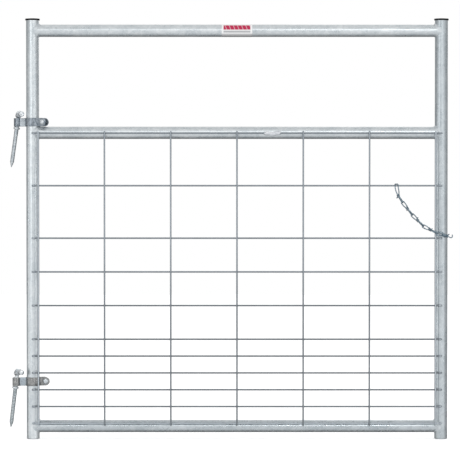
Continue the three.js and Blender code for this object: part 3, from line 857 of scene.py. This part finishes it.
def build_spot_welds():
    """Beads where the wires cross and where they end on the posts, and the run of zinc on the mid rail."""
    crossings, ends, run = Shell(), Shell(), Shell()
    seed = 0.0
    for cross in CROSS_WIRES:
        level = node_centre(cross)
        for upright in UPRIGHT_WIRES:
            post = node_centre(upright)
            seed += SEED_STEP
            nugget(crossings, Vector((post.x, (level.y + post.y) / 2, level.z)), CROSSING_WELD, seed)
        for post, side in POSTS.items():
            seed += SEED_STEP
            at = Vector((POST_X[post] + side * END_WELD_SHIFT, level.y, level.z - 0.3 * MM))
            nugget(ends, at, (END_WELD_LENGTH, WIRE_RADIUS + 1.2 * MM, WIRE_RADIUS + 0.6 * MM), seed)
    level = node_centre("cross_wire_01")
    for shift, rise, size in ((-13, -0.6, 13), (3, -1.4, 17), (17, 0.4, 13)):
        at = Vector((ZINC_RUN_X + shift * MM, level.y + 1.2 * MM, level.z + rise * MM))
        nugget(run, at, (size * MM, ZINC_RUN_DEPTH, ZINC_RUN_HEIGHT), shift, 24, 14)
    make_piece("mid_rail_zinc_run", run, "run", "leaf", [], 80)
    make_piece("wire_crossing_welds", crossings, "wire_level", "leaf", [], 80)
    # Wire-end welds in the darker zinc: real weld beads, with painted shade for the wire's shadow on the
    # post.
    make_piece("wire_end_welds", ends, "spot", "leaf", [], 80)


# ---- Hinge straps, bolts and nuts ----


def strap_half():
    """Centre line of half the strap from the middle of the eye's far side to the end of a tab, in
    the plane of the strip. X runs from the post's axis to the tabs, and each entry is (x, y)."""
    ring = POST_RADIUS + POST_CLEARANCE + STRIP_THICKNESS / 2
    eye = EYE_RADIUS + STRIP_THICKNESS / 2
    neck = (STRIP_THICKNESS + LEG_GAP) / 2
    eye_x = -EYE_DISTANCE
    tab_y = TAB_HALF_SPREAD + TAB_BEND_RADIUS
    tab_x = sqrt((ring + TAB_BEND_RADIUS) ** 2 - tab_y**2)
    neck_y = neck + TAB_BEND_RADIUS
    neck_x = sqrt((ring + TAB_BEND_RADIUS) ** 2 - neck_y**2)
    bend_y = neck + EYE_BEND_RADIUS
    bend_x = sqrt((eye + EYE_BEND_RADIUS) ** 2 - bend_y**2)
    up = pi / 2
    half = arc(eye_x, 0, eye, -pi, atan2(-bend_y, bend_x), 40)
    half += arc(eye_x + bend_x, -bend_y, EYE_BEND_RADIUS, atan2(bend_y, -bend_x), up, 10)
    half += arc(-neck_x, -neck_y, TAB_BEND_RADIUS, up, atan2(neck_y, neck_x), 8)
    half += arc(0, 0, ring, atan2(-neck_y, -neck_x), atan2(-tab_y, tab_x), 60)[1:]
    half += arc(tab_x, -tab_y, TAB_BEND_RADIUS, atan2(tab_y, -tab_x), up, 8)[1:]
    half += [(x, -TAB_HALF_SPREAD) for x in spread(tab_x, BOLT_DISTANCE, 1.5 * MM)[1:]]
    return half


def build_strap(name, place, half_height):
    line = [(x, y, half_height) for x, y in strap_half()]
    for a in quarter_turn(16)[1:]:
        height = max(half_height * cos(a), 0.3 * MM)
        line.append((BOLT_DISTANCE + half_height * sin(a), -TAB_HALF_SPREAD, height))
    line = [(x, -y, h) for x, y, h in reversed(line)] + line[1:]
    rings = []
    for i, (x, y, height) in enumerate(line):
        before = line[max(i - 1, 0)]
        after = line[min(i + 1, len(line) - 1)]
        along = Vector((after[0] - before[0], after[1] - before[1], 0)).normalized()
        across = Vector((-along.y, along.x, 0))
        edge = min(STRIP_EDGE, height * 0.9)
        ring = []
        for quarter, (side, up) in enumerate(((1, 1), (-1, 1), (-1, -1), (1, -1))):
            u, w, start = side * (STRIP_THICKNESS / 2 - edge), up * (height - edge), quarter * pi / 2
            corner = arc(u, w, edge, start, start + pi / 2, 3)
            ring += [Vector((x, y, 0)) + across * u + Z_AXIS * w for u, w in corner]
        rings.append(ring)
    shell = Shell().loft(rings, place=place)
    remake(f"{name}_hinge_strap", "strip", shell, f"{name}_strap")


def thread(core, depth, pitch, height, angle):
    """Radius of a screw thread with round crests."""
    turn = (height / pitch - angle / (2 * pi)) % 1
    return core - depth * (0.5 + 0.5 * cos(2 * pi * turn))


def build_bolt(name, place):
    tab_face = TAB_HALF_SPREAD + STRIP_THICKNESS / 2
    seat = -(tab_face + SEAT_GAP)
    end = tab_face + SEAT_GAP + NUT_THICKNESS + BOLT_TIP
    profile = [(BOLT_HEAD_RADIUS * sin(a), seat - BOLT_HEAD_HEIGHT * cos(a) * 0.96) for a in quarter_turn(10)]
    profile += [(BOLT_HEAD_RADIUS, seat - 0.1 * MM), (BOLT_HEAD_RADIUS - 0.4 * MM, seat)]
    profile += [(BOLT_RADIUS, z) for z in spread(seat, 0, 4 * MM)]
    profile += [
        (lambda a, z=z: thread(BOLT_RADIUS, BOLT_THREAD, BOLT_PITCH, z, a), z)
        for z in spread(0.2 * MM, end - 0.9 * MM, BOLT_PITCH / 5)
    ]
    profile += [(BOLT_RADIUS - 0.5 * MM, end - 0.6 * MM), (BOLT_RADIUS - 1.1 * MM, end)]
    shell = turned(profile, BOLT_SIDES, place @ TO_DEPTH)
    remake(f"{name}_hinge_bolt", "screw", shell, "bolt")


def build_nut(name, place):
    flat = NUT_ACROSS_FLATS / 2
    corner = NUT_ACROSS_FLATS / sqrt(3)
    low = TAB_HALF_SPREAD + STRIP_THICKNESS / 2 + SEAT_GAP
    high = low + NUT_THICKNESS

    def hexagon(limit):
        def radius(angle):
            inside = (angle + pi / 6) % (pi / 3) - pi / 6
            return min(flat / cos(inside), limit)

        return radius

    def face(z, inward):
        """From the flat of the face to the full corners of the sides."""
        chamfer = z + inward * NUT_CHAMFER * 0.45, z + inward * NUT_CHAMFER
        middle = (flat + (corner - flat) * 0.45) * 0.985
        return [(hexagon(flat * 0.96), z), (hexagon(middle), chamfer[0]), (hexagon(corner), chamfer[1])]

    bore = BOLT_RADIUS + 0.15 * MM
    wide = bore + NUT_BORE_CHAMFER
    inner = [(wide, high), (bore, high - NUT_BORE_CHAMFER), (bore, low + NUT_BORE_CHAMFER), (wide, low)]
    profile = [*face(low, 1), *reversed(face(high, -1)), *inner]
    shell = turned(profile, NUT_SIDES, place @ TO_DEPTH, closed=True)
    remake(f"{name}_hinge_nut", "hex", shell, "bolt", sharp=24)


# ---- Screw hooks ----


def build_hook(name, place):
    reach = HOOK_BEND_RADIUS
    pin_height, below_eye, elbow = PIN_HEIGHT[name], SHANK_BELOW_EYE[name], ELBOW_RADIUS[name]
    bend_start = pin_height - reach
    swell_start = pin_height - SWELL_BELOW_PIN
    straight = [Vector((0, 0, z)) for z in spread(-below_eye, THREAD_TOP, THREAD_PITCH / 8)]
    straight += [Vector((0, 0, z)) for z in spread(THREAD_TOP, bend_start, 1.5 * MM)[1:]]
    curve = quarter_turn(14)[1:]
    bend = [Vector((reach * (1 - cos(a)), 0, bend_start + reach * sin(a))) for a in curve]
    shoulder = [Vector((reach + x * MM, 0, pin_height)) for x in (0.5, 0.8, 1.1, 1.6)]
    pin = [Vector((x, 0, pin_height)) for x in spread(reach + 2 * MM, PIN_REACH - PIN_CHAMFER, 2 * MM)]
    pin += [Vector((PIN_REACH - PIN_CHAMFER * (1 - s), 0, pin_height)) for s in (0.4, 0.75, 1.0)]
    path = [*straight, *bend, *shoulder, *pin]
    neck = len(straight) + len(bend)

    def radius(i, angle):
        point = path[i]
        if point.z < THREAD_TOP:
            z = point.z
            taper = min(1.0, (z + below_eye) / POINT_LENGTH)
            size = POINT_RADIUS + (SHANK_RADIUS - POINT_RADIUS) * taper
            fade = min(1.0, max(0.0, (THREAD_TOP - z) / THREAD_FADE))
            return thread(size, THREAD_DEPTH * fade * (0.35 + 0.65 * taper), THREAD_PITCH, z, angle)
        if i < neck:
            swell = min(1.0, max(0.0, (point.z - swell_start) / SWELL_LENGTH))
            return SHANK_RADIUS + (elbow - SHANK_RADIUS) * swell * swell * (3 - 2 * swell)
        if i == neck:
            return elbow
        if i < neck + len(shoulder):
            return PIN_RADIUS - PIN_NECK
        past = max(0.0, point.x - (PIN_REACH - PIN_CHAMFER)) / PIN_CHAMFER
        return PIN_RADIUS - PIN_CHAMFER * (1 - sqrt(max(0.0, 1 - past**2))) * 0.9

    shell = Shell()
    sweep(shell, path, radius, HOOK_SIDES, start_normal=Y_AXIS, rounded=False)
    shell.points = [place @ p for p in shell.points]
    remake(f"{name}_screw_hook", "bar", shell, f"{name}_hook", f"{name}_hook")

    low, high = COLLAR_TOP - COLLAR_THICKNESS, COLLAR_TOP
    outer = COLLAR_RADIUS - COLLAR_ROUNDING
    bore = SHANK_RADIUS + 0.2 * MM
    wide = bore + COLLAR_BORE_CHAMFER
    profile = [
        *arc(outer, high - COLLAR_ROUNDING, COLLAR_ROUNDING, pi / 2, 0, 5),
        *arc(outer, low + COLLAR_ROUNDING, COLLAR_ROUNDING, 0, -pi / 2, 5),
        (wide, low),
        (bore, low + COLLAR_BORE_CHAMFER),
        (bore, high - COLLAR_BORE_CHAMFER),
        (wide, high),
    ]
    ring = turned(profile, COLLAR_SIDES, place, closed=True)
    remake(f"{name}_hook_collar", "ring", ring, "bolt", f"{name}_hook")


def build_hinge(name):
    joint = JOINTS[f"{name}_hook_turn"]
    eye = Vector(joint["pos_m"])
    axis = Vector(joint["axis"])
    turn = atan2(POST_Y - eye.y, POST_X["hinge_post"] - eye.x)
    on_post = Matrix.Translation((POST_X["hinge_post"], POST_Y, eye.z))
    strip = on_post @ rotated(turn, "Z")
    at_bolt = strip @ Matrix.Translation((BOLT_DISTANCE, 0, 0))
    build_strap(name, strip, node_radius(f"{name}_hinge_strap", 2))
    build_bolt(name, at_bolt)
    build_nut(name, at_bolt)
    lean = atan2(axis.x, axis.z)
    hook = Matrix.Translation(eye) @ rotated(lean, "Y") @ rotated(-PIN_TURN[name], "Z")
    build_hook(name, hook)


# ---- Latch chain ----


def bend_wire(shell, place, points, steps, radius, sides):
    """A wire bent smoothly through points that are given in the frame of place."""
    sweep(shell, [place @ p for p in smooth_path(points, steps)], radius, sides)


def add_lobe(shell, reach, place):
    """One lobe of a link: out of the knot, round the end bar at the origin, and back."""
    w, length = LINK_HALF_WIDTH, reach + LINK_OVERLAP
    side = [(0.32 * w, length), (0.6 * w, 0.8 * length), (0.96 * w, 0.52 * length), (w, 0.32 * length)]
    turn = [(w * cos(a), w - w * sin(a)) for a in (pi * i / 6 for i in range(7))]
    back = [(-x, z) for x, z in reversed(side)]
    bend_wire(shell, place, [Vector((x, 0, z)) for x, z in [*side, *turn, *back]], 4, LINK_WIRE, 14)


def add_upper_lobe(shell, length, place):
    add_lobe(shell, length / 2, place @ raised(length) @ rotated(pi, "X"))


def tie(shell, place, seed):
    """The wire's own turns round the middle of a link, with both cut ends standing off."""
    steps = int(KNOT_TURNS * KNOT_STEPS)
    height = KNOT_TURNS * KNOT_PITCH
    turns = []
    for i in range(steps + 1):
        angle = 2 * pi * i / KNOT_STEPS + seed
        radius = KNOT_RADIUS * (1 + 0.06 * sin(2 * angle))
        turns.append(Vector((radius * cos(angle), radius * sin(angle), height * (i / steps - 0.5))))
    tails = []
    for end, inner in ((turns[0], turns[1]), (turns[-1], turns[-2])):
        off = (end - inner).normalized()
        out = Vector((end.x, end.y, 0)).normalized()
        tails.append([end + (off * 0.75 + out * 0.3 * s) * TAIL_LENGTH * s for s in (0.35, 0.7, 1.0)])
    bend_wire(shell, place, [*reversed(tails[0]), *turns, *tails[1]], 2, KNOT_WIRE, 10)


def make_link(node, shell, body):
    remake(node, "wire", shell, "chain", body, 70)


def basis(x, y, z, origin):
    return Matrix.Translation(origin) @ Matrix((x, y, z)).transposed().to_4x4()


def build_chain():
    """Each link stands along local Z, with its lower end bar at the origin and its lobes a quarter turn
    apart."""
    bar_to_bar = 2 * LINK_WIRE + LINK_SLACK
    pivots = [joint_point(f"chain_link_{i}_lift") for i in (1, 2, 3)] + [joint_point("chain_hook_lift")]
    length = (pivots[1] - pivots[0]).length + bar_to_bar
    for i in (1, 2, 3):
        along = (pivots[i] - pivots[i - 1]).normalized()
        twist = rotated(LINK_TWIST, "Z")
        place = basis(Y_AXIS.cross(along), Y_AXIS, along, pivots[i - 1]) @ twist
        shell = Shell()
        add_lobe(shell, length / 2, place @ rotated(pi / 2, "Z"))
        add_upper_lobe(shell, length, place)
        tie(shell, place @ raised(length / 2), 0.9 * i)
        make_link(f"chain_link_{i}", shell, f"chain_{i}")
    build_anchor_link(pivots[0], length, bar_to_bar)
    build_end_hook(pivots[3])


def build_anchor_link(pivot, length, bar_to_bar):
    """The first link: welded to the latch post by its knot, with a loose tail past the post."""
    apex = pivot + Vector((sin(ANCHOR_TURN_LEAN), 0, cos(ANCHOR_TURN_LEAN))) * bar_to_bar
    foot = Vector((POST_X["latch_post"] + ANCHOR_END[0], POST_Y + ANCHOR_END[1], ANCHOR_END[2]))
    along = (apex - foot).normalized()
    across = Y_AXIS.cross(along).normalized()
    start = apex - along * length
    place = basis(across, along.cross(across), along, start)
    shell = Shell()
    add_upper_lobe(shell, length, place)
    tie(shell, place @ raised(length / 2), 2.4)
    tie(shell, place @ raised(length * ANCHOR_END_TIE), 0.4)
    for side in (-1, 1):
        strand = [(side * 1.2, 0.55), (side * 2.4, 0.44), (side * 2.2, 0.36), (side * 1.0, ANCHOR_END_TIE)]
        bend_wire(shell, place, [Vector((0, v * MM, u * length)) for v, u in strand], 4, LINK_WIRE, 12)
    tail = [(0, ANCHOR_END_TIE), (-1.4, 0.15), (-2.4, 0.04), (-0.6, -0.04), (3.2, -0.05), (7.0, -0.02)]
    bend_wire(shell, place, [Vector((v * MM, 0, u * length)) for v, u in tail], 5, KNOT_WIRE, 12)
    knot = start + along * length / 2
    to_post = Vector((POST_X["latch_post"] - knot.x, POST_Y - knot.y, 0))
    surface = knot + to_post.normalized() * (to_post.length - POST_RADIUS)
    nugget(shell, surface.lerp(knot, 0.3), ANCHOR_WELD, 5.5, 18, 12)
    make_link("chain_anchor_link", shell, "leaf")


def build_end_hook(pivot):
    """The last link: its upper lobe is bent back over a cross wire."""
    wire = node_centre("cross_wire_02")
    depth, height = wire.y - pivot.y, wire.z - pivot.z
    lean = END_LINK_LOWER_LEAN
    knot = Vector((END_LINK_LOWER_LENGTH * sin(lean), 0, END_LINK_LOWER_LENGTH * cos(lean)))
    at_pivot = Matrix.Translation(pivot)
    turn = rotated(pi / 2 + LINK_TWIST, "Z")
    shell = Shell()
    add_lobe(shell, END_LINK_LOWER_LENGTH, at_pivot @ rotated(lean, "Y") @ turn)
    tie(shell, at_pivot @ Matrix.Translation(knot) @ rotated(lean / 2, "Y"), 3.6)

    bend = WIRE_RADIUS + END_HOOK_CLEARANCE + LINK_WIRE
    front, rise = depth - bend, height - knot.z

    def over_wire(degrees):
        return depth - bend * cos(radians(degrees)), height + bend * sin(radians(degrees))

    strand = []
    shares = [(0, 0.32, 0, 0), (0.2, 0.65, 0.14, 0.22), (0.55, 0.98, 0.45, 0.48), (0.85, 1, 0.82, 0.76)]
    for s, half, forward, up in shares:
        x = knot.x + s * (END_HOOK_TOP_OFFSET - knot.x)
        strand.append((x, half * LINK_HALF_WIDTH, forward * front, knot.z + up * rise))
    for degrees, half in ((0, 1), (30, 1), (60, 0.88), (88, 0.62), (108, 0.3)):
        strand.append((END_HOOK_TOP_OFFSET, half * LINK_HALF_WIDTH, *over_wire(degrees)))
    left = [Vector((x - half, y, z)) for x, half, y, z in strand]
    right = [Vector((x + half, y, z)) for x, half, y, z in reversed(strand)]
    end_bar = Vector((END_HOOK_TOP_OFFSET, *over_wire(113)))
    bend_wire(shell, at_pivot, [*left, end_bar, *right], 4, LINK_WIRE, 14)
    make_link("chain_end_hook", shell, "chain_end")


# ---- Stage, lights and camera ----

VIEW_WIDTH = 1.3892
VIEW_HEIGHT = 0.6317
VIEW_CENTRE_X = -0.001
CAMERA_HEIGHT = 0.8
CAMERA_DISTANCE = 7.5
SENSOR = 36.0
FLOOR_HALF = 9.0

# Brightness of the studio from behind the gate to in front of it, below the horizon and at it, then overhead.
LOW_LIGHT = [(0.0, 0.18), (0.4, 0.27), (0.55, 0.45), (0.68, 0.7), (0.82, 0.84), (1.0, 0.88)]
SIDE_LIGHT = [(0.0, 0.48), (0.5, 0.52), (0.66, 0.61), (0.8, 0.75), (0.92, 0.86), (1.0, 0.88)]
TOP_LIGHT = 0.8


def build_floor():
    """Pale ground that the camera sees. It is left out of the zinc's reflections and of the bounced light."""
    mesh = bpy.data.meshes.new("floor")
    corners = [(x * FLOOR_HALF, y * FLOOR_HALF, 0) for x, y in ((-1, -1), (1, -1), (1, 1), (-1, 1))]
    mesh.from_pydata(corners, [], [(0, 1, 2, 3)])
    paint = new_paint("pale_floor")
    grain = paint.noise(paint.place(), 30, 3)
    colour = paint.ramp(grain, (0.3, (0.9, 0.9, 0.9)), (0.7, (0.94, 0.94, 0.94)))
    inputs = {"Base Color": colour, "Roughness": 0.9, "Emission Color": (1, 1, 1), "Emission Strength": 0.45}
    paint.put(paint.tree.nodes["Principled BSDF"], inputs)
    mesh.materials.append(paint.owner)
    floor = add_object("floor", mesh)
    floor.visible_glossy = False
    floor.visible_diffuse = False


def build_world():
    """White to the camera. As a light it is a studio: a pale floor in front of the gate, dim sides and
    a dim floor behind it, and a pale ceiling."""
    world = bpy.data.worlds.new("studio")
    bpy.context.scene.world = world
    sky = Paint(world)
    front = sky.span(sky.along("Y", "Generated"), 1, -1)
    rise = sky.span(sky.along("Z", "Generated"), -0.4, 0.15)
    climb = sky.span(sky.along("Z", "Generated"), 0.25, 0.75)

    def tones(stops):
        return sky.ramp(front, *[(at, (grey, grey * 1.01, grey * 1.02)) for at, grey in stops])

    walls = sky.blend(rise, tones(LOW_LIGHT), tones(SIDE_LIGHT))
    studio = sky.blend(climb, walls, (TOP_LIGHT, TOP_LIGHT, TOP_LIGHT))
    seen = sky.new("ShaderNodeLightPath", {}, "Is Camera Ray")
    colour = sky.blend(seen, studio, (1, 1, 1))
    sky.put(sky.tree.nodes["Background"], {"Color": colour, "Strength": 1.0})


def softbox(name, place, width, tall, power, target=VIEW_HEIGHT, spread_angle=180, target_x=None):
    """A rectangular area light that faces a height on the gate, at target_x or at half its own X. A spread of
    less than 180 degrees narrows it to a beam."""
    data = bpy.data.lights.new(name, "AREA")
    data.shape = "RECTANGLE"
    data.size, data.size_y = width, tall
    data.energy = power
    data.spread = radians(spread_angle)
    lamp = add_object(name, data)
    lamp.location = place
    aim_x = place[0] / 2 if target_x is None else target_x
    aim = Vector((aim_x, POST_Y, target)) - lamp.location
    lamp.rotation_mode = "QUATERNION"
    lamp.rotation_quaternion = aim.to_track_quat("-Z", "Y")


def build_lights():
    low_rail = node_centre("bottom_rail").z
    softbox("softbox_left", (-1.75, -2.6, 1.3), 0.5, 2.1, 5.5)
    softbox("softbox_right", (1.15, -2.6, 1.5), 0.4, 1.8, 2.0)
    softbox("softbox_front", (0.1, -3.2, 2.35), 2.6, 0.6, 4.8)
    softbox("softbox_front_right", (0.85, -3.2, 2.35), 0.7, 0.6, 2.5)
    softbox("softbox_low", (0, -3.2, 1.12), 2.6, 0.22, 0.066, low_rail, 16)
    softbox("softbox_low_right", (0.8, -3.2, 1.12), 0.8, 0.22, 0.03, low_rail, 16)
    softbox("panel_left", (-2.0, -1.5, 0.55), 1.0, 1.4, 0.9, 0.4)
    softbox("panel_right", (1.86, -1.72, 0.55), 1.0, 1.4, 1.2, 0.4)
    softbox("beam_right", (1.86, -1.72, 0.36), 0.9, 1.1, 0.14, 0.4, 30, POST_X["hinge_post"])
    softbox("beam_left", (-2.26, -0.7, 0.36), 0.7, 1.1, 0.08, 0.4, 26, POST_X["latch_post"])
    softbox("side_left", (-2.3, -0.3, 0.2), 0.6, 0.7, 0.03, 0.25, 40, POST_X["hinge_post"])
    softbox("softbox_back", (1.2, 3.2, 2.0), 1.8, 1.8, 8)


def build_camera():
    data = bpy.data.cameras.new("camera")
    data.sensor_width = SENSOR
    data.lens = SENSOR * CAMERA_DISTANCE / VIEW_WIDTH
    data.clip_end = 100
    camera = add_object("camera", data)
    camera.location = (VIEW_CENTRE_X, POST_Y - CAMERA_DISTANCE, CAMERA_HEIGHT)
    dip = atan2(CAMERA_HEIGHT - VIEW_HEIGHT, CAMERA_DISTANCE)
    camera.rotation_euler = Euler((pi / 2 - dip, 0, 0))
    bpy.context.scene.camera = camera


# ---- Assembly ----

bpy.context.scene.view_settings.view_transform = "Standard"
build_camera()
build_floor()
build_world()
build_lights()
for number, post in enumerate(POSTS):
    build_post(post, 4.0 * number)
    build_cap(f"{post}_cap")
for number, rail in enumerate(RAILS):
    build_rail(rail, 11.0 + 2.5 * number)
build_rail_welds()
build_label()
for wires, axis, finish in WIRE_GROUPS:
    for wire in wires:
        build_wire(wire, axis, finish)
build_spot_welds()
for name in PIN_TURN:
    build_hinge(name)
build_chain()
